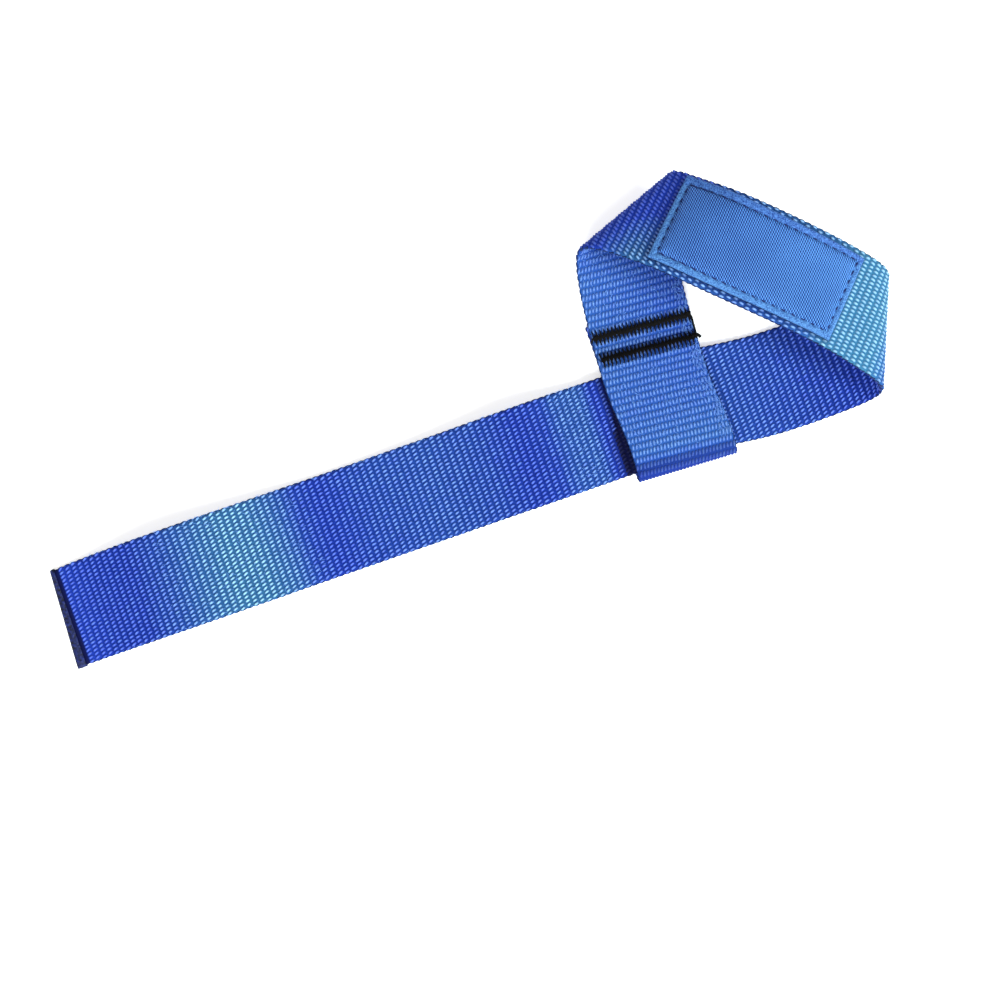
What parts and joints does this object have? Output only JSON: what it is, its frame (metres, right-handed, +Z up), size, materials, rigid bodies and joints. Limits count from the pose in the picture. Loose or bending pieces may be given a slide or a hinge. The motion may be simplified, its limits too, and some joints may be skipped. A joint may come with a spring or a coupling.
{
  "type": "weightlifting strap",
  "caption": "Worn-in webbing strap for lifting: a free tail runs through a sewn keeper loop and forms a padded wrist loop, closed by bar tacks.",
  "frame": {"origin": "under the middle of the strap's outline in plan, on the surface that it lies on", "axes": "+X to the right as the strap is seen from above with its free tail at the left, +Y away from the tail towards the padded run, +Z up"},
  "size_m": [0.3052, 0.1796, 0.0296],
  "materials": {
    "webbing": "coarse plain-woven blue webbing, lightly glossy yarns",
    "pad_cover": "fine woven blue nylon over thin padding",
    "tack_thread": "black sewing thread, dense zigzag",
    "sealed_webbing": "melted dark navy fibre, slightly glossy"
  },
  "bodies": {
    "root": {"webbing": "webbing", "wrist_pad": "pad_cover", "upper_bar_tack": "tack_thread", "lower_bar_tack": "tack_thread", "sealed_end": "sealed_webbing"}
  },
  "joints": []
}
